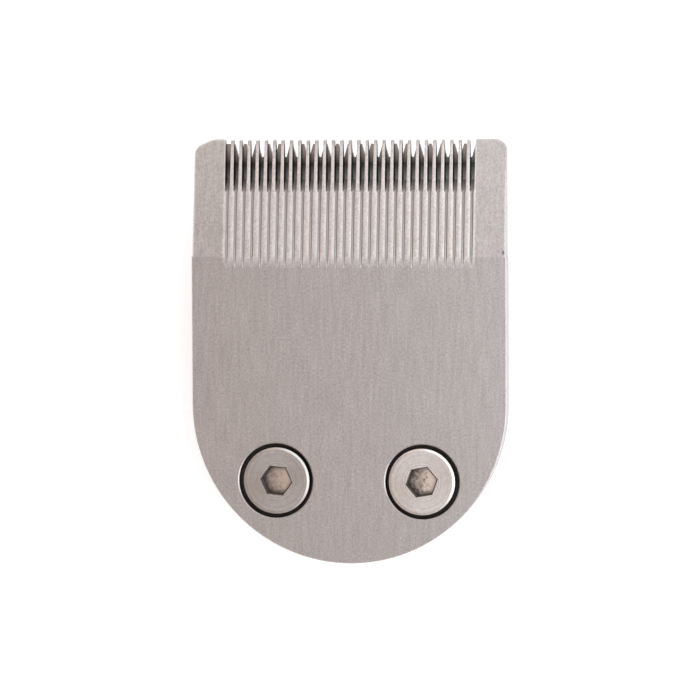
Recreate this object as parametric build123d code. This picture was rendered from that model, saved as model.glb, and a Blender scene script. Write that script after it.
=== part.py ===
from build123d import *
import os
from math import radians, tan

# A clip-on hair clipper blade set: a fixed steel comb, a steel cutter that slides across the comb's back,
# and the moulded carrier that holds both on the clipper's nose.
# Millimetres. X runs across the teeth, Y towards the tooth tips, Z out of the comb's skin side.
# The origin is where the clipper's drive axis crosses the carrier's seating rim.

# Comb plate
PLATE_WIDTH = 30.0
PLATE_THICKNESS = 2.0
TAIL_CENTRE_TO_TIPS = 25.1
TAIL_CENTRE_TO_DRIVE = 6.5
EDGE_CHAMFER = 0.07
BEVEL_LENGTH = 11.1  # ground front face, from the tooth tips to the line where it starts
TIP_THICKNESS = 0.4
NOSE_CHAMFER = 0.15  # along the tips and the lands' front edges
LEFT_CORNER_DROP = 0.8
LEFT_CORNER_RUN = 1.75
LEFT_CORNER_ROUNDS = (1.0, 1.5)  # at the side and at the front
RIGHT_CORNER_ROUND = 1.2
NICK_RADIUS = 0.3
NICK_DEPTH = 0.07
NICK_FROM_EDGE = 0.22
NICK_FROM_BEVEL = 0.45  # ahead of the line where the ground front starts

# Comb teeth: face grooves that run on into slots through the plate, with a plain land on each side
COMB_TEETH = 29
LAND_WIDTH = 2.85
GROOVE_LENGTH = 12.1  # from the tips to where a groove runs out of the plate's face
GROOVE_DEPTH = 0.15  # at the slot
GROOVE_FLOOR = 0.04
GROOVE_FLANK_DEG = 45.0
SLOT_LENGTH = 3.85  # from the tips to the slot's end on the plate's back
SLOT_DROP = 1.3  # of the slot's floor below the plate's back at the tips
SLOT_RUN_OUT = 2.0
SLOT_FLOOR = 0.42
SLOT_FLANK_DEG = 2.0
TIP_FLAT = 0.12  # left of a tooth's width at its very end
TIP_POINT_DEG = 35.0  # of a tip's broken corners from the tooth's length

# Cutter, which runs on the comb's back
CUTTER_TEETH = 23
CUTTER_LAP = 0.65  # the cutter reaches past the comb's toothed width on each side
CUTTER_THICKNESS = 1.3
CUTTER_SETBACK = 0.45  # cutter tips behind the comb's tips
CUTTER_DEPTH = 13.3
CUTTER_BEVEL_LENGTH = 5.8
CUTTER_TIP_THICKNESS = 0.35
CUTTER_TOOTH_LENGTH = 1.25
CUTTER_TIP_WIDTH = 0.23
CUTTER_ROOT_GAP = 0.18
CUTTER_GROOVE_LENGTH = 5.0
CUTTER_TOOTH_SHIFT = -0.16  # of the tooth row from the cutter's middle
CUTTER_PLAIN_PITCHES = 2  # left without gaps at the cutter's left end
CUTTER_LAND = 1.9  # polished strip behind the tooth tips
CUTTER_HOLLOW = 0.15
CUTTER_PAD = 4.0  # rear strip that also runs on the comb
CUTTER_TRAVEL = 1.1  # each way from the middle

# Screws, inserts and their holes
SCREW_SIDE = 8.05  # from the plate's side to the screws
SCREW_EDGE = 7.8  # from the tail's end to the screws
HOLE_SPREAD = 0.1  # the comb's holes are further apart than the screws by this
HEAD_DIAMETER = 6.3
HEAD_HEIGHT = 1.3
HEAD_CHAMFER = 0.22
HEAD_CHAMFER_DROP = 0.12
HEAD_SINK = 0.03  # head face below the comb's face
HEAD_CLEARANCE = 0.39
HOLE_CHAMFER = 0.1
KEY_SIZE = 2.5
LEFT_KEY_DEG = -6.0
RIGHT_KEY_DEG = 10.0
SOCKET_DEPTH = 1.3
SOCKET_CHAMFER = 0.1  # round the socket's mouth
THREAD_DIAMETER = 3.0
THREAD_LENGTH = 5.0
THREAD_CLEARANCE = 0.02
THREAD_CHAMFER = 0.3
SHANK_CLEARANCE = 0.15
INSERT_DIAMETER = 4.4
INSERT_LENGTH = 5.5
INSERT_SINK = 0.1
INSERT_CLEARANCE = 0.02

# Carrier
CARRIER_HEIGHT = 7.0  # from the seating rim to the comb's back
CARRIER_INSET = 1.2  # inside the comb's outline
SKIRT_WALL = 1.4
WEB_THICKNESS = 1.6
WEB_TO_CUTTER = 0.8
ARM_LENGTH = 7.8
ARM_RAKE = 2.4  # how far an arm's foot stands behind its top
ARM_TO_CUTTER = 0.3
RIM_CHAMFER = 0.4
BOSS_WALL = 1.1
LATCH_WIDTH = 7.0
LATCH_SLIT = 0.9
LATCH_LENGTH = 4.4
RIDGE_REACH = 0.5
RIDGE_LIFT = 0.8  # snap ridges above the seating rim
ARM_RIDGE_LENGTH = 4.0
ARM_RIDGE_SETBACK = 0.4  # behind the arm's foot
THUMB_LIP = 0.4

# Drive follower, fixed on the cutter's back
BAR_WIDTH = 18.4
BAR_DEPTH = 4.0
BAR_SETBACK = 0.6  # from the cutter's rear edge to the bar
BAR_THICKNESS = 2.0
BAR_ROUND = 0.8
PEG_SPACING = 13.0
PEG_DIAMETER = 1.8
PEG_CLEARANCE = 0.05
PEG_SINK = 0.4  # peg ends below the cutter's running face
GUIDE_WIDTH = 8.8
GUIDE_DEPTH = 3.4
GUIDE_CLEARANCE = 0.1
GUIDE_SINK = 0.2
STOP_CLEARANCE = 0.3
NECK_CLEARANCE = 0.2
FORK_SLOT = 3.0
FORK_WALL = 1.6
FORK_END = 0.8  # fork ends above the seating rim

# Tension spring of bent wire
WIRE_DIAMETER = 0.8
WIRE_CLEARANCE = 0.05
LEG_SPACING = 14.4
LEG_REAR = 8.0  # cross wire behind the drive axis
LEG_KNEE = 1.0  # knee behind the follower's bar
LEG_TIP = 3.0  # leg end ahead of the bar's rear edge
LEG_BEND = 2.0
KNEE_BEND = 3.0
HOOK_POSITION = 3.0  # behind the drive axis
HOOK_LENGTH = 2.0
HOOK_WALL = 0.9

OVERCUT = 0.5  # how far cutting shapes run past what they cut

# Heights
COMB_Z = CARRIER_HEIGHT
FACE_Z = COMB_Z + PLATE_THICKNESS
WEB_Z = COMB_Z - WEB_THICKNESS
CUTTER_Z = COMB_Z - CUTTER_THICKNESS
BAR_Z = CUTTER_Z - BAR_THICKNESS
SCREW_SEAT_Z = FACE_Z - HEAD_SINK - HEAD_HEIGHT
INSERT_TOP_Z = COMB_Z - INSERT_SINK
INSERT_END_Z = INSERT_TOP_Z - INSERT_LENGTH

# Places along Y
TAIL_Y = -TAIL_CENTRE_TO_DRIVE
TIP_Y = TAIL_Y + TAIL_CENTRE_TO_TIPS
BEVEL_Y = TIP_Y - BEVEL_LENGTH
SCREW_Y = TAIL_Y - PLATE_WIDTH / 2 + SCREW_EDGE
CUTTER_TIP_Y = TIP_Y - CUTTER_SETBACK
CUTTER_REAR_Y = CUTTER_TIP_Y - CUTTER_DEPTH
CUTTER_ROOT_Y = CUTTER_TIP_Y - CUTTER_TOOTH_LENGTH
WEB_FRONT_Y = CUTTER_REAR_Y - WEB_TO_CUTTER
ARM_END_Y = WEB_FRONT_Y + ARM_LENGTH
ARM_FOOT_Y = ARM_END_Y - ARM_RAKE
BAR_REAR_Y = CUTTER_REAR_Y + BAR_SETBACK
PEG_Y = BAR_REAR_Y + BAR_DEPTH / 2

# Widths
FRONT_HALF = PLATE_WIDTH / 2 - EDGE_CHAMFER
TOOTHED_WIDTH = 2 * (FRONT_HALF - LAND_WIDTH)
COMB_PITCH = TOOTHED_WIDTH / (COMB_TEETH + 1)
SCREW_SPACING = PLATE_WIDTH - 2 * SCREW_SIDE
CUTTER_WIDTH = TOOTHED_WIDTH + 2 * CUTTER_LAP
CUTTER_PITCH = CUTTER_WIDTH / CUTTER_TEETH
SKIRT_OUTER = PLATE_WIDTH / 2 - CARRIER_INSET
SKIRT_INNER = SKIRT_OUTER - SKIRT_WALL
INSERT_BORE = INSERT_DIAMETER / 2 + INSERT_CLEARANCE

SIDES = (-1, 1)
BASE = (Align.CENTER, Align.CENTER, Align.MIN)
TOP = (Align.CENTER, Align.CENTER, Align.MAX)


def block(x_limits, y_limits, z_limits):
    """Box between two limits along each axis."""
    limits = (x_limits, y_limits, z_limits)
    size = [high - low for low, high in limits]
    corner = [low for low, high in limits]
    return Pos(*corner) * Box(*size, align=Align.MIN)


def u_outline(half_width, front_y):
    """Face with a round tail about the tail's centre and straight sides up to front_y."""
    tail = CenterArc((0, TAIL_Y), half_width, 180, 180)
    sides = Polyline(
        (half_width, TAIL_Y),
        (half_width, front_y),
        (-half_width, front_y),
        (-half_width, TAIL_Y),
    )
    return make_face(tail.edges() + sides.edges())


def along_x(outline, width):
    """Solid of the given width, centred on X, from corners given as (y, z)."""
    section = Plane.YZ * make_face(Polyline(*outline, close=True))
    return extrude(section, amount=width / 2, both=True)


def ramp_groove(x, start, end, floor, flank_deg, height):
    """Groove-shaped cutting solid with a straight floor from start to end, both (y, z).

    A negative height makes it open downwards.
    """
    y, z = start
    half_floor = floor / 2
    half_mouth = half_floor + abs(height) * tan(radians(flank_deg))
    section = Polyline(
        (x - half_floor, y, z),
        (x + half_floor, y, z),
        (x + half_mouth, y, z + height),
        (x - half_mouth, y, z + height),
        close=True,
    )
    run = Vector(0, end[0] - y, end[1] - z)
    return extrude(make_face(section), amount=run.length, dir=run.normalized())


def on_line(first, second, y):
    """Point (y, z) at y on the line through two points given as (y, z)."""
    slope = (second[1] - first[1]) / (second[0] - first[0])
    return (y, first[1] + slope * (y - first[0]))


# Comb blade
def comb_front_outline():
    """Ground front seen from above: side edges, the two unlike corners and the line of the tips."""
    edges = FilletPolyline(
        (-FRONT_HALF, BEVEL_Y),
        (-FRONT_HALF, TIP_Y - LEFT_CORNER_DROP),
        (-FRONT_HALF + LEFT_CORNER_RUN, TIP_Y),
        (FRONT_HALF, TIP_Y),
        (FRONT_HALF, BEVEL_Y),
        radius=[*LEFT_CORNER_ROUNDS, RIGHT_CORNER_ROUND],
    )
    bevel_line = Line((FRONT_HALF, BEVEL_Y), (-FRONT_HALF, BEVEL_Y))
    return make_face(edges.edges() + bevel_line.edges())


def bevel_point(y):
    """Point (y, z) on the ground front face."""
    return on_line((BEVEL_Y, FACE_Z), (TIP_Y, COMB_Z + TIP_THICKNESS), y)


def comb_blank():
    """Plate with its round tail and its ground front, before teeth and holes."""
    tail = Pos(0, 0, COMB_Z) * extrude(u_outline(PLATE_WIDTH / 2, BEVEL_Y), PLATE_THICKNESS)
    rim = tail.faces().sort_by(Axis.Z)[-1].edges().sort_by(Axis.Y)[:-1]
    tail = chamfer(rim, EDGE_CHAMFER)
    front_y = TIP_Y + OVERCUT
    wedge = along_x(
        [(BEVEL_Y, COMB_Z), (front_y, COMB_Z), bevel_point(front_y), bevel_point(BEVEL_Y)],
        PLATE_WIDTH,
    )
    front = Pos(0, 0, COMB_Z) * extrude(comb_front_outline(), PLATE_THICKNESS) & wedge
    ground_face = front.faces().sort_by(Axis.Z)[-1]
    nose = ground_face.edges().filter_by(lambda edge: edge.center().Y > TIP_Y - LEFT_CORNER_DROP)
    return tail + chamfer(nose, NOSE_CHAMFER)


def comb_gap(x):
    """Gap between two teeth: a shallow groove in the face, then a slot that plunges through the plate."""
    slot_end = (TIP_Y - SLOT_LENGTH, COMB_Z)
    groove_end = bevel_point(slot_end[0])
    groove_line = ((TIP_Y - GROOVE_LENGTH, FACE_Z), (groove_end[0], groove_end[1] - GROOVE_DEPTH))
    groove_start = on_line(*groove_line, groove_line[0][0] - OVERCUT)
    run_out = (slot_end[0] - SLOT_RUN_OUT, FACE_Z)
    slot_tip = on_line(slot_end, (TIP_Y, COMB_Z - SLOT_DROP), TIP_Y + OVERCUT)
    slot_height = 2 * PLATE_THICKNESS
    return [
        ramp_groove(x, groove_start, groove_line[1], GROOVE_FLOOR, GROOVE_FLANK_DEG, PLATE_THICKNESS),
        ramp_groove(x, run_out, slot_end, SLOT_FLOOR, SLOT_FLANK_DEG, slot_height),
        ramp_groove(x, slot_end, slot_tip, SLOT_FLOOR, SLOT_FLANK_DEG, slot_height),
    ]


def tip_break(x):
    """Wedge in plan that breaks the tip corners on both sides of a gap."""
    slope = tan(radians(TIP_POINT_DEG))
    start = TIP_Y - (COMB_PITCH - TIP_FLAT) / 2 / slope
    end = TIP_Y + OVERCUT
    half_mouth = (end - start) * slope
    plan = Polyline((x, start), (x + half_mouth, end), (x - half_mouth, end), close=True)
    return Pos(0, 0, COMB_Z - OVERCUT) * extrude(make_face(plan), PLATE_THICKNESS)


def comb_nick():
    """Small dent that the plate has near its right edge."""
    y, z = bevel_point(BEVEL_Y + NICK_FROM_BEVEL)
    return Pos(FRONT_HALF - NICK_FROM_EDGE, y, z + NICK_RADIUS - NICK_DEPTH) * Sphere(NICK_RADIUS)


def comb_hole(x):
    """Counterbored screw hole with a broken edge."""
    bore = HEAD_DIAMETER / 2 + HEAD_CLEARANCE
    shank = THREAD_DIAMETER / 2 + SHANK_CLEARANCE
    through = Pos(0, 0, COMB_Z - OVERCUT) * Cylinder(shank, CARRIER_HEIGHT, align=BASE)
    counterbore = Pos(0, 0, SCREW_SEAT_Z) * Cylinder(bore, HEAD_HEIGHT + OVERCUT, align=BASE)
    edge = Pos(0, 0, FACE_Z) * Cone(bore, bore + HOLE_CHAMFER, HOLE_CHAMFER, align=TOP)
    return Pos(x, SCREW_Y) * (through + counterbore + edge)


def comb_blade():
    hole_x = (SCREW_SPACING + HOLE_SPREAD) / 2
    first_x = (COMB_PITCH - TOOTHED_WIDTH) / 2
    cuts = [comb_hole(-hole_x), comb_hole(hole_x), comb_nick()]
    for gap in range(COMB_TEETH + 1):
        gap_x = first_x + gap * COMB_PITCH
        cuts += [*comb_gap(gap_x), tip_break(gap_x)]
    return comb_blank() - cuts


# Cutter blade
def cutter_gap(x):
    """Gap between two cutter teeth: a wedge in plan, with a groove that runs out on the cutter's back."""
    root = CUTTER_ROOT_GAP / 2
    mouth = (CUTTER_PITCH - CUTTER_TIP_WIDTH) / 2
    end = on_line((CUTTER_ROOT_Y, root), (CUTTER_TIP_Y, mouth), CUTTER_TIP_Y + OVERCUT)
    plan = Polyline(
        (x - root, CUTTER_ROOT_Y),
        (x + root, CUTTER_ROOT_Y),
        (x + end[1], end[0]),
        (x - end[1], end[0]),
        close=True,
    )
    wedge = Pos(0, 0, CUTTER_Z) * extrude(make_face(plan), CUTTER_THICKNESS + OVERCUT)
    run_out = (CUTTER_TIP_Y - CUTTER_GROOVE_LENGTH, CUTTER_Z)
    root_top = (CUTTER_ROOT_Y, COMB_Z)
    start = on_line(run_out, root_top, run_out[0] - OVERCUT)
    groove = ramp_groove(x, start, root_top, CUTTER_ROOT_GAP, SLOT_FLANK_DEG, -2 * CUTTER_THICKNESS)
    return wedge + groove


def cutter_blade():
    land_y = CUTTER_TIP_Y - CUTTER_LAND
    pad_y = CUTTER_REAR_Y + CUTTER_PAD
    hollow_z = COMB_Z - CUTTER_HOLLOW
    blank = along_x(
        [
            (CUTTER_REAR_Y, CUTTER_Z),
            (CUTTER_TIP_Y - CUTTER_BEVEL_LENGTH, CUTTER_Z),
            (CUTTER_TIP_Y, COMB_Z - CUTTER_TIP_THICKNESS),
            (CUTTER_TIP_Y, COMB_Z),
            (land_y, COMB_Z),
            (land_y, hollow_z),
            (pad_y, hollow_z),
            (pad_y, COMB_Z),
            (CUTTER_REAR_Y, COMB_Z),
        ],
        CUTTER_WIDTH,
    )
    first_x = CUTTER_TOOTH_SHIFT - CUTTER_WIDTH / 2
    cut_gaps = range(CUTTER_PLAIN_PITCHES, CUTTER_TEETH + 1)
    gaps = [cutter_gap(first_x + gap * CUTTER_PITCH) for gap in cut_gaps]
    peg_hole = Pos(0, 0, CUTTER_Z) * Cylinder(PEG_DIAMETER / 2 + PEG_CLEARANCE, CUTTER_THICKNESS, align=BASE)
    peg_holes = [Pos(side * PEG_SPACING / 2, PEG_Y) * peg_hole for side in SIDES]
    return blank - gaps - peg_holes


# Drive follower
def drive_follower():
    guide_half = GUIDE_WIDTH / 2
    neck_z = WEB_Z - NECK_CLEARANCE
    bar_y = (BAR_REAR_Y, BAR_REAR_Y + BAR_DEPTH)
    guide_y = (-GUIDE_DEPTH / 2, GUIDE_DEPTH / 2)
    bar = block((-BAR_WIDTH / 2, BAR_WIDTH / 2), bar_y, (BAR_Z, CUTTER_Z))
    bar = fillet(bar.edges().filter_by(Axis.Z), BAR_ROUND)
    neck = block((-guide_half, guide_half), (guide_y[0], PEG_Y), (BAR_Z, neck_z))
    guide = block((-guide_half, guide_half), guide_y, (neck_z, COMB_Z - GUIDE_SINK))
    peg = Pos(0, PEG_Y, CUTTER_Z) * Cylinder(PEG_DIAMETER / 2, CUTTER_THICKNESS - PEG_SINK, align=BASE)
    follower = bar + neck + guide
    for side in SIDES:
        prong_x = sorted([side * FORK_SLOT / 2, side * (FORK_SLOT / 2 + FORK_WALL)])
        follower += block(prong_x, guide_y, (FORK_END, BAR_Z))
        follower += Pos(side * PEG_SPACING / 2, 0) * peg
    return follower


# Tension spring
def spring_line():
    """Rear and knee points (y, z) of a spring leg's sloping run."""
    drop = WIRE_DIAMETER / 2 + WIRE_CLEARANCE
    return (-LEG_REAR, WEB_Z - drop), (BAR_REAR_Y - LEG_KNEE, BAR_Z - drop)


def tension_spring():
    """U of wire: cross wire under the web, two legs forward and down, their ends flat under the bar."""
    rear, knee = spring_line()
    leg_x = LEG_SPACING / 2
    tip = (BAR_REAR_Y + LEG_TIP, knee[1])
    left = [(-leg_x, *point) for point in (tip, knee, rear)]
    right = [(leg_x, *point) for point in (rear, knee, tip)]
    path = FilletPolyline(*left, *right, radius=[KNEE_BEND, LEG_BEND, LEG_BEND, KNEE_BEND])
    wire = Plane(origin=path @ 0, z_dir=path % 0) * Circle(WIRE_DIAMETER / 2)
    return sweep(wire, path=path)


# Carrier
def carrier_shell():
    """Round-tailed tray, open at the back, with two arms that run forward below the cutter."""
    tray = extrude(u_outline(SKIRT_OUTER, ARM_END_Y), CARRIER_HEIGHT)
    tray = chamfer(tray.faces().sort_by(Axis.Z)[0].edges(), RIM_CHAMFER)
    hollow = extrude(u_outline(SKIRT_INNER, ARM_END_Y + OVERCUT), WEB_Z)
    across = (-PLATE_WIDTH, PLATE_WIDTH)
    ahead = (WEB_FRONT_Y, ARM_END_Y + OVERCUT)
    arm_z = CUTTER_Z - ARM_TO_CUTTER
    cutter_space = block(across, ahead, (arm_z, FACE_Z))
    between_arms = block((-SKIRT_INNER, SKIRT_INNER), ahead, (0, FACE_Z))
    rake = along_x(
        [(ARM_FOOT_Y, 0), (ahead[1], 0), (ahead[1], arm_z), (ARM_END_Y, arm_z)],
        2 * PLATE_WIDTH,
    )
    return tray - hollow - cutter_space - between_arms - rake


def guide_window():
    """Opening in the web that guides the follower and stops it past its travel."""
    half_width = GUIDE_WIDTH / 2 + CUTTER_TRAVEL + STOP_CLEARANCE
    half_depth = GUIDE_DEPTH / 2 + GUIDE_CLEARANCE
    return block((-half_width, half_width), (-half_depth, half_depth), (WEB_Z - OVERCUT, COMB_Z + OVERCUT))


def spring_hook(side):
    """Hook below the web that a spring leg bears on."""
    leg_x = LEG_SPACING / 2
    wire = WIRE_DIAMETER / 2 + WIRE_CLEARANCE
    y_limits = (-HOOK_POSITION - HOOK_LENGTH / 2, -HOOK_POSITION + HOOK_LENGTH / 2)
    foot_z = on_line(*spring_line(), y_limits[1])[1] - wire
    post_x = (leg_x + wire, leg_x + wire + HOOK_WALL)
    post = block(post_x, y_limits, (foot_z - HOOK_WALL, WEB_Z))
    foot = block((leg_x - wire, post_x[1]), y_limits, (foot_z - HOOK_WALL, foot_z))
    hook = post + foot
    return hook if side > 0 else mirror(hook, about=Plane.YZ)


def snap_ridge(length):
    """Three-sided ridge along Y, pointing to -X from the plane X = 0."""
    section = Polyline(
        (OVERCUT, 0, 0),
        (0, 0, 0),
        (-RIDGE_REACH, 0, RIDGE_REACH),
        (0, 0, 2 * RIDGE_REACH),
        (OVERCUT, 0, 2 * RIDGE_REACH),
        close=True,
    )
    return extrude(make_face(section), amount=length, dir=(0, 1, 0))


def latch_slits():
    """Two slits that free a springy tongue in the tail of the skirt."""
    slit_x = (LATCH_WIDTH / 2, LATCH_WIDTH / 2 + LATCH_SLIT)
    slit_y = (TAIL_Y - PLATE_WIDTH / 2, TAIL_Y - SKIRT_INNER + SKIRT_WALL)
    slit = block(slit_x, slit_y, (-OVERCUT, LATCH_LENGTH))
    return [slit, mirror(slit, about=Plane.YZ)]


def latch_ridge():
    """Band through the tail's tongue: a snap ridge inside and a thumb lip outside."""
    height = 2 * RIDGE_REACH
    ring = Cylinder(SKIRT_OUTER + THUMB_LIP, height, align=BASE)
    ring -= Cylinder(SKIRT_INNER - RIDGE_REACH, height, align=BASE)
    half_width = LATCH_WIDTH / 2 - LATCH_SLIT
    tongue = block((-half_width, half_width), (-PLATE_WIDTH, 0), (0, height))
    return Pos(0, TAIL_Y, RIDGE_LIFT) * (ring & tongue)


def blade_carrier():
    carrier = carrier_shell() - latch_slits() + latch_ridge()
    ridge_y = ARM_FOOT_Y - ARM_RIDGE_SETBACK - ARM_RIDGE_LENGTH
    ridge = Pos(SKIRT_INNER, ridge_y, RIDGE_LIFT) * snap_ridge(ARM_RIDGE_LENGTH)
    carrier += [ridge, mirror(ridge, about=Plane.YZ)]
    boss_height = WEB_Z - INSERT_END_Z
    for side in SIDES:
        place = Pos(side * SCREW_SPACING / 2, SCREW_Y, INSERT_END_Z)
        carrier += place * Cylinder(INSERT_BORE + BOSS_WALL, boss_height, align=BASE)
        carrier += spring_hook(side)
        carrier -= place * Cylinder(INSERT_BORE, CARRIER_HEIGHT, align=BASE)
    return carrier - guide_window()


# Screws and inserts
def screw(side, key_deg):
    """Low-head screw with a hexagon socket that has a broken edge."""
    head = Cylinder(HEAD_DIAMETER / 2, HEAD_HEIGHT, align=BASE)
    head = chamfer(head.edges().group_by(Axis.Z)[-1], HEAD_CHAMFER_DROP, HEAD_CHAMFER)
    thread = Cylinder(THREAD_DIAMETER / 2, THREAD_LENGTH, align=TOP)
    thread = chamfer(thread.edges().group_by(Axis.Z)[0], THREAD_CHAMFER)
    key = RegularPolygon(KEY_SIZE / 2, 6, major_radius=False, rotation=key_deg)
    mouth = RegularPolygon(KEY_SIZE / 2 + SOCKET_CHAMFER, 6, major_radius=False, rotation=key_deg)
    socket = extrude(key, -SOCKET_DEPTH) + extrude(mouth, -SOCKET_CHAMFER, taper=45)
    body = head + thread - Pos(0, 0, HEAD_HEIGHT) * socket
    return Pos(side * SCREW_SPACING / 2, SCREW_Y, SCREW_SEAT_Z) * body


def insert(side):
    """Plain brass sleeve that takes the screw."""
    sleeve = Cylinder(INSERT_DIAMETER / 2, INSERT_LENGTH, align=BASE)
    sleeve -= Cylinder(THREAD_DIAMETER / 2 + THREAD_CLEARANCE, INSERT_LENGTH, align=BASE)
    return Pos(side * SCREW_SPACING / 2, SCREW_Y, INSERT_END_Z) * sleeve


PIECES = {
    "comb_blade": comb_blade(),
    "cutter_blade": cutter_blade(),
    "drive_follower": drive_follower(),
    "tension_spring": tension_spring(),
    "blade_carrier": blade_carrier(),
    "screw_left": screw(-1, LEFT_KEY_DEG),
    "screw_right": screw(1, RIGHT_KEY_DEG),
    "insert_left": insert(-1),
    "insert_right": insert(1),
}

os.makedirs("parts", exist_ok=True)
for name, piece in PIECES.items():
    export_step(piece, f"parts/{name}.step")
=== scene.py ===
import math

import bpy
from mathutils import Matrix, Vector


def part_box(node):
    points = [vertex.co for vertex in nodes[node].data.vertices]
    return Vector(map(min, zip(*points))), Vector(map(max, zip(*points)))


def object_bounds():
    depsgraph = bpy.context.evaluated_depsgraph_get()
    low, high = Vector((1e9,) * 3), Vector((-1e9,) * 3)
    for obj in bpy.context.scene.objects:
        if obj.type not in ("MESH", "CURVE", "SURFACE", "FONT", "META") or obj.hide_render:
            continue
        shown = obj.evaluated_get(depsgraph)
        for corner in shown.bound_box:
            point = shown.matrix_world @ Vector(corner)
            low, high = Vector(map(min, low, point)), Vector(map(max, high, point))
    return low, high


# A clip-on hair clipper blade set, lying on its carrier with the comb's skin side up.
# Metres, in the CAD frame: X across the teeth, Y towards the tooth tips, Z up.

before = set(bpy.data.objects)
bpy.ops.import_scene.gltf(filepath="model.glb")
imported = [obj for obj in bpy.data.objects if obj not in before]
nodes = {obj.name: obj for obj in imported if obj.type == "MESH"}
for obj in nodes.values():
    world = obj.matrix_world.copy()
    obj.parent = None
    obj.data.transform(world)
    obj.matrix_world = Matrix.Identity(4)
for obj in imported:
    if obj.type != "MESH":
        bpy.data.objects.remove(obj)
cad_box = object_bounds()

MM = 0.001
RIGHT_X, TIP_Y, FACE_Z = cad_box[1]  # the comb's right side, the tips of its teeth and its face

# What the camera sees: a square of this width, centred on this point of the comb's face
VIEW_WIDTH = 66.0 * MM
VIEW_CENTRE = Vector((0.17 * MM, -1.26 * MM, FACE_Z))
VIEW_DISTANCE = 0.4
VIEW_NEAREST = 0.01  # nothing nearer to the camera is seen
VIEW_RIGHT_DEG = 9.0  # the camera leans this far to the right of straight above
VIEW_FRONT_DEG = 3.5  # and this far towards the tooth tips
VIEW_UP = Vector((0.004, 1.0, 0.0))  # points up in the picture
SENSOR_WIDTH = 36.0

# Edges of the inserts and of the moulded pieces are broken by up to this much
INSERT_EDGE = 0.03 * MM
PLASTIC_EDGE = 0.15 * MM
EDGE_STEPS = 2
FLAT_DEG = 0.5  # between faces that are one flat face
SAME_POINT = 0.001 * MM
SMOOTH_DEG = 25.0  # between faces that are one curved face
GROUND_SMOOTH_DEG = 6.0  # keeps the faint line where the comb's ground front starts

# Comb teeth, which are ground slightly round across their tops
COMB_GAPS = 30
TEETH_WIDTH = 24.16 * MM
TEETH_HALF_WIDTH = TEETH_WIDTH / 2
COMB_PITCH = TEETH_WIDTH / COMB_GAPS
GROUND_FRONT_Y = TIP_Y - 11.6 * MM  # the teeth and the gaps between them lie in front of this
SLOT_END_Y = TIP_Y - 3.6 * MM  # the slots end behind this
GROOVE_HALF_WIDTH = 0.17 * MM
TOOTH_CROWN = 0.14  # slope of a tooth's top half a pitch from its middle

# Other faces that are coloured unlike the rest of their piece, by their finish or by painted shade
COUNTERBORE_RADIUS = 3.58 * MM  # just more than that of the recesses round the screws
SOCKET_RADIUS = 1.6 * MM  # just more than that of the sockets in the screws
RECESS_DEPTH = 0.11 * MM  # faces in these recesses and sockets lie deeper than this
HOLLOW_Z = FACE_Z - 2.1 * MM  # the cutter's hollow lies below this and its ground strip above
NICK = Vector((RIGHT_X - 0.29 * MM, TIP_Y - 10.65 * MM))
NICK_RADIUS = 0.2 * MM
NICK_FACE_AREA = NICK_RADIUS**2 / 10  # the nick's own faces are smaller than this

# Part of a face's normal along an axis
ALONG = 0.9  # at least, where the face looks along the axis
SLANTED = 0.5  # at least, where it slants towards the axis
ACROSS = 0.3  # at most, where it looks across the axis
SLIGHT = 0.1  # of the tooth tops, which slope forwards and not sideways
SOCKET_MOUTH_UP = 0.8  # at most, along Z, for the socket's walls and the chamfer round its mouth
SCREW_WALL_UP = 0.2  # at most, along Z, for the screw's upright walls

# Where the colour of a face changes, along Y
PAINTED_HIGHLIGHT_END = (TIP_Y - 12.1 * MM, TIP_Y - 11.1 * MM)  # a painted highlight carries the brightness of the teeth onto the plate and runs out there
TIPS_DARKEN = (TIP_Y - 0.7 * MM, TIP_Y - 0.1 * MM)  # the tooth tops turn darker towards the tips
SLOT_SHADE_FADE = (TIP_Y - 0.7 * MM, TIP_Y - 0.1 * MM)  # the painted shade in the slots fades out towards the tips
GROUND_END_Y = TIP_Y - 2.35 * MM  # the cutter's ground strip ends at its hollow
GROUND_SHADE_FADE = (GROUND_END_Y, TIP_Y - 0.7 * MM)  # on that strip, the painted shade under the comb fades out towards the tips
HOLLOW_SHADOW_RISE = (TIP_Y - 3.85 * MM, GROUND_END_Y)  # the hollow turns darker towards the ground strip, a painted shadow of the strip's step

# Where it changes along X
PAINTED_HIGHLIGHT_EDGE = 0.1 * MM  # the painted highlight fades over this width at either side of the teeth
SOCKET_SHADE_SPAN = (-0.5 * MM, 0.9 * MM)  # from the screw's axis, the socket turns from painted shade to painted light

SOCKET_CORNER = 0.5 * MM  # the socket gets painted shade this near to its walls

# Colours, linear
COMB_STEEL = (0.51, 0.48, 0.47)
PAINTED_HIGHLIGHT_STEEL = (0.74, 0.695, 0.68)
# The tooth tops are painted lighter than the plate, as a painted highlight
TOOTH_STEEL = (0.66, 0.62, 0.605)
TIP_STEEL = (0.42, 0.40, 0.39)
EDGE_STEEL = (0.46, 0.435, 0.43)
GROOVE_STEEL = ((0.27, 0.24, 0.23), (0.62, 0.575, 0.555))  # painted shade at the bottom, and lighter at the edges
SLOT_STEEL = ((0.03, 0.027, 0.025), (0.36, 0.34, 0.33))  # painted shade in the depth, lighter at the tips
SLOT_END_STEEL = (0.40, 0.37, 0.355)
NICK_STEEL = (0.27, 0.25, 0.24)
CUTTER_STEEL = (0.42, 0.395, 0.385)
CUTTER_GROUND = ((0.02, 0.018, 0.017), (0.36, 0.34, 0.33))  # painted shade at the hollow, lighter at the tips
CUTTER_HOLLOW = ((0.30, 0.28, 0.27), (0.07, 0.062, 0.06))  # at the slots' ends, and darker at the ground strip as a painted shadow of its step
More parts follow.
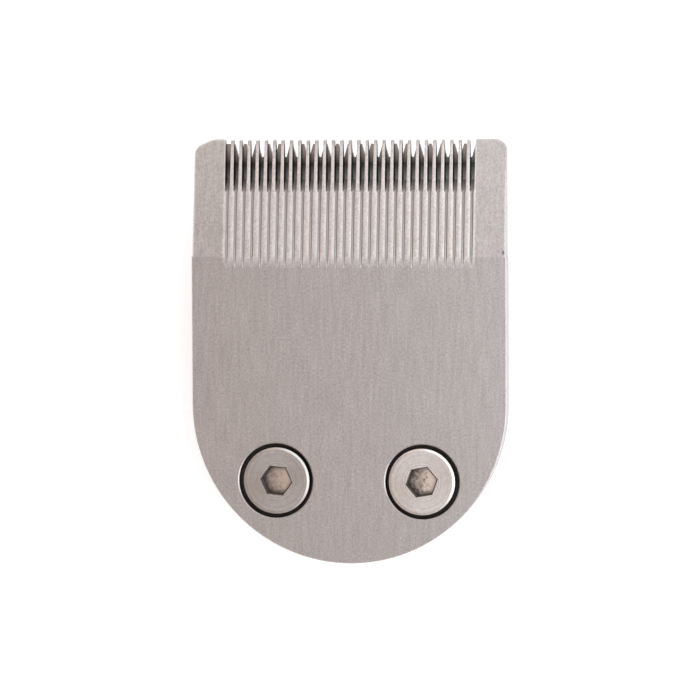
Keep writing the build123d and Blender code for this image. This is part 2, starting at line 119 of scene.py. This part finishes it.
# The screws are of one steel: the left head is painted darker and the right head lighter, as painted
# shade and painted light
SCREW_STEEL = {"screw_left": (0.46, 0.425, 0.405), "screw_right": (0.66, 0.61, 0.58)}
SOCKET_STEEL = {  # painted shade on the socket's left and painted light on its right
    "screw_left": ((0.36, 0.30, 0.265), (0.66, 0.555, 0.485)),
    "screw_right": ((0.20, 0.17, 0.15), (0.80, 0.68, 0.60)),
}
# Dark oil residue in the recesses, darkened further as painted shade
GRIME_AND_SHADE = (0.07, 0.054, 0.046)
SPRING_STEEL = (0.46, 0.46, 0.47)
BRASS = (0.72, 0.52, 0.24)
CARRIER_BLACK = (0.018, 0.018, 0.02)
FOLLOWER_WHITE = (0.72, 0.71, 0.66)

# Grain, in marks per metre along X, Y and Z
COMB_GRAIN = (7000, 4500, 7000)
COMB_STREAKS = (3000, 240, 3000)
EDGE_GRAIN = (5000, 5000, 700)
CUTTER_GRAIN = (350, 9000, 9000)
HOLLOW_GRAIN = (5000, 900, 5000)
SCREW_STAINS = (2600, 2600, 2600)
SOCKET_MOTTLE = (2600, 2600, 2600)
GRIME_AND_SHADE_CLOUD = (2500, 2500, 2500)
BRASS_GRAIN = (4000, 4000, 900)
SPRING_GRAIN = (3000, 600, 3000)
CARRIER_GRAIN = (3500, 3500, 3500)
FOLLOWER_GRAIN = (6000, 6000, 6000)
PLASTIC_CLOUD = (150, 150, 150)
SCREW_RINGS = 9000.0  # outwards from the screw's axis
RING_DETAIL = 2.0  # layers of ever finer marks
GRAIN_DETAIL = 4.0
GRAIN_ROUGH = 0.8  # strength of each layer against the one before it
NOISE_RANGE = (0.3, 0.7)  # most of a noise lies in this part of 0 to 1
COMB_STREAK_SHARE = 0.3  # of the streaks in the comb's grain

# How much darker or lighter the grain makes a colour
COMB_GRAIN_DEPTH = 0.38
SLOT_END_DEPTH = 0.2
EDGE_DEPTH = 0.08
STEEL_DEPTH = 0.05
SCREW_DEPTH = 0.24
GRIME_AND_SHADE_DEPTH = 0.4
CARRIER_DEPTH = 0.3
FOLLOWER_DEPTH = 0.03

# What noise adds to a run from one colour, at 0, to another, at 1
SHADE_EDGE_NOISE = 0.2  # times the noise
SOCKET_NOISE = (-0.4, 0.8)  # where the noise is weakest and where it is strongest

# Height of the grain
STEEL_RELIEF = 0.002 * MM
SOCKET_RELIEF = 0.01 * MM
GRIME_RELIEF = 0.01 * MM
CARRIER_RELIEF = 0.03 * MM
FOLLOWER_RELIEF = 0.004 * MM

# Roughness, which varies with the grain
COMB_ROUGHNESS = (0.28, 0.38)
GROOVE_ROUGHNESS = (0.6, 0.7)
SLOT_ROUGHNESS = (0.45, 0.6)
EDGE_ROUGHNESS = (0.3, 0.4)
CUTTER_ROUGHNESS = (0.3, 0.42)
GROUND_ROUGHNESS = (0.14, 0.22)
HOLLOW_ROUGHNESS = (0.3, 0.4)
SCREW_ROUGHNESS = (0.28, 0.4)
SOCKET_ROUGHNESS = (0.25, 0.4)
GRIME_ROUGHNESS = (0.5, 0.7)
BRASS_ROUGHNESS = (0.3, 0.4)
SPRING_ROUGHNESS = (0.25, 0.35)
CARRIER_ROUGHNESS = (0.4, 0.6)
FOLLOWER_ROUGHNESS = (0.35, 0.45)

SCREW_ANISOTROPY = 0.4
GRIME_SPECULAR = 0.2

# Floor and light
FLOOR_SIZE = 4.0
FLOOR_GREY = (0.8, 0.8, 0.8, 1.0)
FLOOR_ROUGHNESS = 0.9
FLOOR_GLOW = (0.5, 0.5, 0.5, 1.0)
BACKDROP_WHITE = (1.0, 1.0, 1.0, 1.0)
BACKDROP_TOP = (0.2, 0.4)  # sine of the heights between which the backdrop turns into the ceiling
CEILING_RAMP = (  # from the left, at 0, to the right, at 1
    (0.0, (0.60, 0.515, 0.465, 1.0)),
    (0.40, (0.67, 0.56, 0.505, 1.0)),
    (0.65, (0.83, 0.85, 0.89, 1.0)),
    (1.0, (0.98, 0.99, 1.0, 1.0)),
)
LAMPS = (  # name, place, the point it faces, width and length, brightness, colour
    ("softbox_top", (0.2, 0.18, 0.31), (0.2, 0.18, 0.0), (0.4, 0.56), 1.05, (0.74, 0.90, 1.0)),
    ("softbox_front", (-0.02, 0.14, 0.16), (-0.02, 0.14, 0.0), (0.3, 0.14), 0.6, (1.0, 0.98, 0.96)),
    ("softbox_right", (0.30, -0.08, 0.16), (0.0, 0.0, 0.0), (0.3, 0.3), 1.5, (0.98, 0.99, 1.0)),
)


# Small helpers for node trees
def new_tree(name):
    """A material with only its Principled shader and output, and the tree and shader to build on."""
    material = bpy.data.materials.new(name)
    material.use_nodes = True
    tree = material.node_tree
    shader = tree.nodes["Principled BSDF"]
    return material, tree, shader


def new_steel(name):
    """A material as from new_tree, of bare metal."""
    material, tree, shader = new_tree(name)
    shader.inputs["Metallic"].default_value = 1.0
    return material, tree, shader


def axis_value(tree, axis, coordinates="Object"):
    """Place along X, Y or Z, by default in the piece's own coordinates."""
    place = tree.nodes.new("ShaderNodeTexCoord")
    axes = tree.nodes.new("ShaderNodeSeparateXYZ")
    tree.links.new(place.outputs[coordinates], axes.inputs["Vector"])
    return axes.outputs[axis]


def map_range(tree, value, start, end, low=0.0, high=1.0):
    """Value that runs from low to high as another runs from start to end, and stays there beyond."""
    node = tree.nodes.new("ShaderNodeMapRange")
    node.inputs["From Min"].default_value = start
    node.inputs["From Max"].default_value = end
    node.inputs["To Min"].default_value = low
    node.inputs["To Max"].default_value = high
    tree.links.new(value, node.inputs["Value"])
    return node.outputs["Result"]


def along_axis(tree, axis, start, end):
    """Value that runs from 0 at start to 1 at end along X, Y or Z of the piece's own coordinates."""
    return map_range(tree, axis_value(tree, axis), start, end)


def spread(tree, noise, low, high):
    """Noise mapped from its usual range onto low to high."""
    return map_range(tree, noise, *NOISE_RANGE, low, high)


def stretched_noise(tree, scale):
    """Noise in the piece's own coordinates, with its own frequency per metre along each axis."""
    place = tree.nodes.new("ShaderNodeTexCoord")
    mapping = tree.nodes.new("ShaderNodeMapping")
    noise = tree.nodes.new("ShaderNodeTexNoise")
    mapping.inputs["Scale"].default_value = scale
    noise.inputs["Scale"].default_value = 1.0
    noise.inputs["Detail"].default_value = GRAIN_DETAIL
    noise.inputs["Roughness"].default_value = GRAIN_ROUGH
    tree.links.new(place.outputs["Object"], mapping.inputs["Vector"])
    tree.links.new(mapping.outputs["Vector"], noise.inputs["Vector"])
    return noise.outputs["Fac"]


def ring_noise(tree, axis_point, scale):
    """Noise that only changes with the distance from an upright axis, like the marks of a lathe."""
    place = tree.nodes.new("ShaderNodeTexCoord")
    flat = tree.nodes.new("ShaderNodeMapping")
    length = tree.nodes.new("ShaderNodeVectorMath")
    noise = tree.nodes.new("ShaderNodeTexNoise")
    flat.inputs["Location"].default_value = (-axis_point[0], -axis_point[1], 0.0)
    flat.inputs["Scale"].default_value = (1.0, 1.0, 0.0)
    length.operation = "LENGTH"
    noise.noise_dimensions = "1D"
    noise.inputs["Scale"].default_value = scale
    noise.inputs["Detail"].default_value = RING_DETAIL
    tree.links.new(place.outputs["Object"], flat.inputs["Vector"])
    tree.links.new(flat.outputs["Vector"], length.inputs[0])
    tree.links.new(length.outputs["Value"], noise.inputs["W"])
    return noise.outputs["Fac"]


def combined(tree, operation, first, second):
    """Two values added or multiplied."""
    node = tree.nodes.new("ShaderNodeMath")
    node.operation = operation
    tree.links.new(first, node.inputs[0])
    tree.links.new(second, node.inputs[1])
    return node.outputs["Value"]


def roughened(tree, value, noise, amount):
    """Value with a share of noise added to it, which breaks up an even run."""
    node = tree.nodes.new("ShaderNodeMath")
    node.operation = "MULTIPLY_ADD"
    node.inputs[1].default_value = amount
    tree.links.new(noise, node.inputs[0])
    tree.links.new(value, node.inputs[2])
    return node.outputs["Value"]


def mix_node(tree, kind, first, second):
    """Mix of two values or colours: the input for the second one's share, and the result."""
    node = tree.nodes.new("ShaderNodeMix")
    node.data_type = kind
    share, first_in, second_in = [socket for socket in node.inputs if socket.enabled]
    tree.links.new(first, first_in)
    tree.links.new(second, second_in)
    return share, next(socket for socket in node.outputs if socket.enabled)


def average(tree, first, second, second_share=0.5):
    """Mean of two values, in which the second has the given share."""
    share, result = mix_node(tree, "FLOAT", first, second)
    share.default_value = second_share
    return result


def mixed(tree, second_share, first, second):
    """The first of two colours, or the second where its share is 1."""
    share, result = mix_node(tree, "RGBA", first, second)
    tree.links.new(second_share, share)
    return result


def ramp_colour(tree, value, steps):
    """Colour that runs through the steps, each a position and a colour, as a value runs from 0 to 1."""
    ramp = tree.nodes.new("ShaderNodeValToRGB")
    elements = ramp.color_ramp.elements
    while len(elements) < len(steps):
        elements.new(0.5)
    for element, (position, colour) in zip(elements, steps):
        element.position = position
        element.color = colour
    tree.links.new(value, ramp.inputs["Fac"])
    return ramp.outputs["Color"]


def blend(tree, value, first, second, span=(0.0, 1.0)):
    """Colour that runs from the first to the second as a value runs through a span."""
    return ramp_colour(tree, value, ((span[0], (*first, 1.0)), (span[1], (*second, 1.0))))


def shade(tree, noise, colour, depth):
    """Colour that noise makes up to depth darker or lighter."""
    darker = [part * (1 - depth) for part in colour]
    lighter = [part * (1 + depth) for part in colour]
    return blend(tree, noise, darker, lighter, NOISE_RANGE)


def shaded_corners(tree, colour, reach):
    """Colour with painted shade within reach of a corner."""
    node = tree.nodes.new("ShaderNodeAmbientOcclusion")
    node.inputs["Distance"].default_value = reach
    tree.links.new(colour, node.inputs["Color"])
    return node.outputs["Color"]


def set_surface(tree, shader, colour, noise, roughness):
    """Colour of a material, and its roughness, which noise moves within a range."""
    tree.links.new(colour, shader.inputs["Base Color"])
    tree.links.new(spread(tree, noise, *roughness), shader.inputs["Roughness"])


def bump(tree, shader, noise, height):
    """Surface relief of the given height in metres."""
    node = tree.nodes.new("ShaderNodeBump")
    node.inputs["Distance"].default_value = height
    tree.links.new(noise, node.inputs["Height"])
    tree.links.new(node.outputs["Normal"], shader.inputs["Normal"])


# Materials
def brushed_steel(name, colour, grain, roughness, depth=STEEL_DEPTH):
    """Metal with fine grain, stretched along the axis that has the lowest frequency."""
    material, tree, shader = new_steel(name)
    fine = stretched_noise(tree, grain)
    set_surface(tree, shader, shade(tree, fine, colour, depth), fine, roughness)
    bump(tree, shader, fine, STEEL_RELIEF)
    return material


def painted_highlight_share(tree):
    """1 on the plate's face beside the bevel, between the ends of the grooves, where a highlight is
    painted, and 0 further back.
    """
    left_side = along_axis(tree, "X", -TEETH_HALF_WIDTH, -TEETH_HALF_WIDTH + PAINTED_HIGHLIGHT_EDGE)
    right_side = along_axis(tree, "X", TEETH_HALF_WIDTH, TEETH_HALF_WIDTH - PAINTED_HIGHLIGHT_EDGE)
    forward = along_axis(tree, "Y", *PAINTED_HIGHLIGHT_END)
    return combined(tree, "MULTIPLY", forward, combined(tree, "MULTIPLY", left_side, right_side))


def tip_share(tree):
    """1 at the tips of the teeth and 0 further back."""
    return along_axis(tree, "Y", *TIPS_DARKEN)


def comb_steel(name, colour, other, share_of):
    """Brushed steel of the comb, which takes the other colour where share_of is 1."""
    material, tree, shader = new_steel(name)
    streaks = stretched_noise(tree, COMB_STREAKS)
    fine = average(tree, stretched_noise(tree, COMB_GRAIN), streaks, COMB_STREAK_SHARE)
    first = shade(tree, fine, colour, COMB_GRAIN_DEPTH)
    second = shade(tree, fine, other, COMB_GRAIN_DEPTH)
    set_surface(tree, shader, mixed(tree, share_of(tree), first, second), fine, COMB_ROUGHNESS)
    bump(tree, shader, fine, STEEL_RELIEF)
    return material


def shaded_groove_steel(name):
    """Steel with painted shade along the bottoms of the grooves between the teeth."""
    material, tree, shader = new_steel(name)
    fine = stretched_noise(tree, COMB_GRAIN)
    aside = tree.nodes.new("ShaderNodeMath")
    aside.operation = "PINGPONG"
    aside.inputs[1].default_value = COMB_PITCH / 2
    tree.links.new(axis_value(tree, "X"), aside.inputs[0])
    groove_edge = COMB_PITCH / 2 - GROOVE_HALF_WIDTH
    rise = map_range(tree, aside.outputs["Value"], COMB_PITCH / 2, groove_edge)
    set_surface(tree, shader, blend(tree, rise, *GROOVE_STEEL), fine, GROOVE_ROUGHNESS)
    bump(tree, shader, fine, STEEL_RELIEF)
    return material


def shaded_steel(name, colours, along, grain, roughness):
    """Steel with painted shade on it, which turns from the first colour to the second along Y."""
    material, tree, shader = new_steel(name)
    fine = stretched_noise(tree, grain)
    forward = roughened(tree, along_axis(tree, "Y", *along), fine, SHADE_EDGE_NOISE)
    set_surface(tree, shader, blend(tree, forward, *colours), fine, roughness)
    bump(tree, shader, fine, STEEL_RELIEF)
    return material


def turned_steel(name, colour, axis_point):
    """Slightly stained steel with the ring marks of a lathe, which stretch its highlights."""
    material, tree, shader = new_steel(name)
    shader.inputs["Anisotropic"].default_value = SCREW_ANISOTROPY
    around = tree.nodes.new("ShaderNodeTangent")
    around.direction_type = "RADIAL"
    around.axis = "Z"
    tree.links.new(around.outputs["Tangent"], shader.inputs["Tangent"])
    rings = ring_noise(tree, axis_point, SCREW_RINGS)
    stains = average(tree, rings, stretched_noise(tree, SCREW_STAINS))
    set_surface(tree, shader, shade(tree, stains, colour, SCREW_DEPTH), rings, SCREW_ROUGHNESS)
    bump(tree, shader, rings, STEEL_RELIEF)
    return material


def socket_steel(name, axis_point, colours):
    """Mottled, dull steel with painted shade on the left and along the socket's walls, and painted light
    on the right.
    """
    material, tree, shader = new_steel(name)
    mottle = stretched_noise(tree, SOCKET_MOTTLE)
    dark_x, bright_x = [axis_point[0] + aside for aside in SOCKET_SHADE_SPAN]
    across = along_axis(tree, "X", dark_x, bright_x)
    uneven = combined(tree, "ADD", across, spread(tree, mottle, *SOCKET_NOISE))
    colour = shaded_corners(tree, blend(tree, uneven, *colours), SOCKET_CORNER)
    set_surface(tree, shader, colour, mottle, SOCKET_ROUGHNESS)
    bump(tree, shader, mottle, SOCKET_RELIEF)
    return material


def grime_and_shade(name):
    """Dark oil residue in narrow recesses, darkened further as painted shade."""
    material, tree, shader = new_tree(name)
    shader.inputs["Specular IOR Level"].default_value = GRIME_SPECULAR
    cloud = stretched_noise(tree, GRIME_AND_SHADE_CLOUD)
    set_surface(tree, shader, shade(tree, cloud, GRIME_AND_SHADE, GRIME_AND_SHADE_DEPTH), cloud, GRIME_ROUGHNESS)
    bump(tree, shader, cloud, GRIME_RELIEF)
    return material


def moulded_plastic(name, colour, depth, roughness, grain, relief):
    """Plastic with the fine even texture of a spark-eroded mould."""
    material, tree, shader = new_tree(name)
    cloud = stretched_noise(tree, PLASTIC_CLOUD)
    set_surface(tree, shader, shade(tree, cloud, colour, depth), cloud, roughness)
    bump(tree, shader, stretched_noise(tree, grain), relief)
    return material


# Finishing of the CAD pieces
def smooth_node(name, material, smooth_deg=SMOOTH_DEG):
    """Gives a CAD piece its material and smooth curved faces."""
    piece = nodes[name]
    piece.data.materials.clear()
    piece.data.materials.append(material)
    for face in piece.data.polygons:
        face.use_smooth = True
    piece.data.set_sharp_from_angle(angle=math.radians(smooth_deg))


def finish_node(name, material, edge):
    """Gives a CAD piece its material, smooth curved faces and slightly broken edges."""
    smooth_node(name, material)
    piece = nodes[name]
    piece.data.normals_split_custom_set([(0.0, 0.0, 0.0)] * len(piece.data.loops))
    joined = piece.modifiers.new("joined_faces", "WELD")
    joined.merge_threshold = SAME_POINT
    flat = piece.modifiers.new("flat_faces", "DECIMATE")
    flat.decimate_type = "DISSOLVE"
    flat.angle_limit = math.radians(FLAT_DEG)
    flat.delimit = {"MATERIAL"}
    bevel = piece.modifiers.new("broken_edges", "BEVEL")
    bevel.width = edge
    bevel.segments = EDGE_STEPS
    bevel.limit_method = "ANGLE"
    bevel.angle_limit = math.radians(SMOOTH_DEG)
    even = piece.modifiers.new("even_shading", "WEIGHTED_NORMAL")
    even.mode = "FACE_AREA"


def paint_faces(name, material, chosen):
    """Gives another material to the faces of a piece for which chosen(face) holds."""
    mesh = nodes[name].data
    mesh.materials.append(material)
    for face in mesh.polygons:
        if chosen(face):
            face.material_index = len(mesh.materials) - 1


def axis_of(name):
    """Point at which the upright axis of a round piece crosses Z = 0."""
    low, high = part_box(name)
    return Vector(((low[0] + high[0]) / 2, (low[1] + high[1]) / 2))


screw_axes = {name: axis_of(name) for name in SCREW_STEEL}
recess_grime_and_shade = grime_and_shade("recess_grime_and_shade")


# Which faces of a piece are coloured unlike the rest, by their finish or by painted shade
def is_sunk(face):
    return face.center.z < FACE_Z - RECESS_DEPTH


def in_counterbore(face):
    near = min((face.center.xy - axis).length for axis in screw_axes.values())
    return near < COUNTERBORE_RADIUS and is_sunk(face)


def among_teeth(face):
    return face.center.y > GROUND_FRONT_Y and abs(face.center.x) < TEETH_HALF_WIDTH


def on_tooth_top(face):
    sloped = face.normal.z > ALONG and face.normal.y > SLIGHT and abs(face.normal.x) < SLIGHT
    return sloped and among_teeth(face)


def in_groove(face):
    return among_teeth(face) and face.normal.z > SLANTED and abs(face.normal.x) > SLANTED


def in_slot(face):
    return among_teeth(face) and abs(face.normal.z) < ACROSS and abs(face.normal.x) > ALONG


def on_slot_end(face):
    return among_teeth(face) and face.center.y < SLOT_END_Y and SLANTED < face.normal.y < ALONG


def on_edge(face):
    return abs(face.normal.z) < ACROSS


def in_nick(face):
    return (face.center.xy - NICK).length < NICK_RADIUS and face.area < NICK_FACE_AREA


def on_cutter_face(face):
    return face.normal.z > ALONG


def in_cutter_hollow(face):
    return on_cutter_face(face) and face.center.z < HOLLOW_Z


# Each piece's finish
def crown_teeth(mesh):
    """Turns the normals of the tooth tops outwards towards the gaps, so that the tops look round."""
    normals = [Vector((0.0, 0.0, 0.0)) for loop in mesh.loops]
    for face in mesh.polygons:
        if not on_tooth_top(face):
            continue
        middle = round(face.center.x / COMB_PITCH) * COMB_PITCH
        for index in face.loop_indices:
            aside = mesh.vertices[mesh.loops[index].vertex_index].co.x - middle
            lean = Vector((TOOTH_CROWN * aside / (COMB_PITCH / 2), 0.0, 0.0))
            normals[index] = (face.normal + lean).normalized()
    mesh.normals_split_custom_set(normals)


def finish_comb():
    # The plate's face beside the bevel gets a painted highlight: lighter steel that carries on the
    # brightness of the tooth tops
    steel = comb_steel("comb_steel", COMB_STEEL, PAINTED_HIGHLIGHT_STEEL, painted_highlight_share)
    tooth = comb_steel("tooth_steel", TOOTH_STEEL, TIP_STEEL, tip_share)
    groove = shaded_groove_steel("shaded_groove_steel")
    slot = shaded_steel("slot_steel", SLOT_STEEL, SLOT_SHADE_FADE, COMB_GRAIN, SLOT_ROUGHNESS)
    slot_end = brushed_steel("slot_end_steel", SLOT_END_STEEL, COMB_GRAIN, SLOT_ROUGHNESS, SLOT_END_DEPTH)
    nick = brushed_steel("nick_steel", NICK_STEEL, COMB_GRAIN, SLOT_ROUGHNESS, SLOT_END_DEPTH)
    edge = brushed_steel("edge_steel", EDGE_STEEL, EDGE_GRAIN, EDGE_ROUGHNESS, EDGE_DEPTH)
    smooth_node("comb_blade", steel, GROUND_SMOOTH_DEG)
    paint_faces("comb_blade", edge, on_edge)
    # The counterbores round the screws are painted dark: oil residue and painted shade
    paint_faces("comb_blade", recess_grime_and_shade, in_counterbore)
    paint_faces("comb_blade", tooth, on_tooth_top)
    paint_faces("comb_blade", groove, in_groove)
    paint_faces("comb_blade", slot, in_slot)
    paint_faces("comb_blade", slot_end, on_slot_end)
    paint_faces("comb_blade", nick, in_nick)
    crown_teeth(nodes["comb_blade"].data)


def finish_cutter():
    steel = brushed_steel("cutter_steel", CUTTER_STEEL, CUTTER_GRAIN, CUTTER_ROUGHNESS)
    ground = shaded_steel("cutter_ground", CUTTER_GROUND, GROUND_SHADE_FADE, CUTTER_GRAIN, GROUND_ROUGHNESS)
    hollow = shaded_steel("cutter_hollow", CUTTER_HOLLOW, HOLLOW_SHADOW_RISE, HOLLOW_GRAIN, HOLLOW_ROUGHNESS)
    smooth_node("cutter_blade", steel)
    paint_faces("cutter_blade", ground, on_cutter_face)
    paint_faces("cutter_blade", hollow, in_cutter_hollow)


def finish_screw(name):
    axis = screw_axes[name]
    steel = turned_steel(name + "_steel", SCREW_STEEL[name], axis)
    socket = socket_steel(name + "_socket", axis, SOCKET_STEEL[name])

    def near_socket(face):
        return (face.center.xy - axis).length < SOCKET_RADIUS

    def in_socket(face):
        return near_socket(face) and is_sunk(face)

    def is_steep(face):
        in_mouth = near_socket(face) and face.normal.z < SOCKET_MOUTH_UP
        return in_mouth or abs(face.normal.z) < SCREW_WALL_UP

    smooth_node(name, steel)
    paint_faces(name, socket, in_socket)
    # The socket's walls, the chamfer round its mouth and the head's upright walls are painted dark: oil
    # residue and painted shade
    paint_faces(name, recess_grime_and_shade, is_steep)


def finish_insert(name):
    brass = brushed_steel(name + "_brass", BRASS, BRASS_GRAIN, BRASS_ROUGHNESS)
    finish_node(name, brass, INSERT_EDGE)


def finish_spring():
    steel = brushed_steel("spring_steel", SPRING_STEEL, SPRING_GRAIN, SPRING_ROUGHNESS)
    smooth_node("tension_spring", steel)


def finish_carrier():
    looks = (CARRIER_BLACK, CARRIER_DEPTH, CARRIER_ROUGHNESS, CARRIER_GRAIN, CARRIER_RELIEF)
    finish_node("blade_carrier", moulded_plastic("carrier_black", *looks), PLASTIC_EDGE)


def finish_follower():
    looks = (FOLLOWER_WHITE, FOLLOWER_DEPTH, FOLLOWER_ROUGHNESS, FOLLOWER_GRAIN, FOLLOWER_RELIEF)
    finish_node("drive_follower", moulded_plastic("follower_white", *looks), PLASTIC_EDGE)


finish_comb()
finish_cutter()
for name in screw_axes:
    finish_screw(name)
for name in ("insert_left", "insert_right"):
    finish_insert(name)
finish_spring()
finish_carrier()
finish_follower()


# Floor, light and camera
def make_floor():
    """Floor that is white where it is seen, with the object's shadow."""
    bpy.ops.mesh.primitive_plane_add(size=FLOOR_SIZE, location=(0.0, 0.0, cad_box[0].z))
    floor = bpy.context.object
    floor.name = "floor"
    material, tree, shader = new_tree("floor_white")
    shader.inputs["Base Color"].default_value = FLOOR_GREY
    shader.inputs["Roughness"].default_value = FLOOR_ROUGHNESS
    shader.inputs["Specular IOR Level"].default_value = 0.0
    rays = tree.nodes.new("ShaderNodeLightPath").outputs
    mirrored = combined(tree, "ADD", rays["Is Glossy Ray"], rays["Is Transmission Ray"])
    seen = combined(tree, "ADD", rays["Is Camera Ray"], mirrored)
    glow = tree.nodes.new("ShaderNodeEmission")
    glow.inputs["Color"].default_value = FLOOR_GLOW
    tree.links.new(seen, glow.inputs["Strength"])
    both = tree.nodes.new("ShaderNodeAddShader")
    tree.links.new(shader.outputs["BSDF"], both.inputs[0])
    tree.links.new(glow.outputs["Emission"], both.inputs[1])
    tree.links.new(both.outputs["Shader"], tree.nodes["Material Output"].inputs["Surface"])
    floor.data.materials.append(material)


def make_world():
    """Studio with a white backdrop all round and a ceiling that is warmer and dimmer on the left."""
    world = bpy.data.worlds.new("studio")
    bpy.context.scene.world = world
    world.use_nodes = True
    tree = world.node_tree
    ceiling = tree.nodes["Background"]
    from_left = map_range(tree, axis_value(tree, "X", "Generated"), -1.0, 1.0)
    tree.links.new(ramp_colour(tree, from_left, CEILING_RAMP), ceiling.inputs["Color"])
    backdrop = tree.nodes.new("ShaderNodeBackground")
    backdrop.inputs["Color"].default_value = BACKDROP_WHITE
    both = tree.nodes.new("ShaderNodeMixShader")
    height = map_range(tree, axis_value(tree, "Z", "Generated"), *BACKDROP_TOP)
    tree.links.new(height, both.inputs["Fac"])
    tree.links.new(backdrop.outputs["Background"], both.inputs[1])
    tree.links.new(ceiling.outputs["Background"], both.inputs[2])
    tree.links.new(both.outputs["Shader"], tree.nodes["World Output"].inputs["Surface"])


def make_lamp(name, place, target, size, radiance, colour):
    """Oblong area lamp with the given brightness at its face, pointed at the target."""
    lamp = bpy.data.lights.new(name, "AREA")
    lamp.shape = "RECTANGLE"
    lamp.size, lamp.size_y = size
    lamp.energy = radiance * math.pi * size[0] * size[1]
    lamp.color = colour
    piece = bpy.data.objects.new(name, lamp)
    piece.location = place
    piece.rotation_euler = (Vector(target) - Vector(place)).to_track_quat("-Z", "Y").to_euler()
    piece.visible_camera = False
    bpy.context.collection.objects.link(piece)


def make_camera():
    """Camera above the comb's face, leaning a little to the right and to the tooth tips."""
    right_lean = math.tan(math.radians(VIEW_RIGHT_DEG))
    front_lean = math.tan(math.radians(VIEW_FRONT_DEG))
    back = Vector((right_lean, front_lean, 1.0)).normalized()
    right = VIEW_UP.cross(back).normalized()
    up = back.cross(right)
    camera = bpy.data.cameras.new("camera")
    camera.sensor_width = SENSOR_WIDTH
    camera.lens = SENSOR_WIDTH * VIEW_DISTANCE / VIEW_WIDTH
    camera.clip_start = VIEW_NEAREST
    piece = bpy.data.objects.new("camera", camera)
    piece.location = VIEW_CENTRE + back * VIEW_DISTANCE
    piece.rotation_euler = Matrix((right, up, back)).transposed().to_euler()
    bpy.context.collection.objects.link(piece)
    bpy.context.scene.camera = piece


make_floor()
make_world()
for lamp in LAMPS:
    make_lamp(*lamp)
make_camera()
bpy.context.scene.view_settings.view_transform = "Standard"
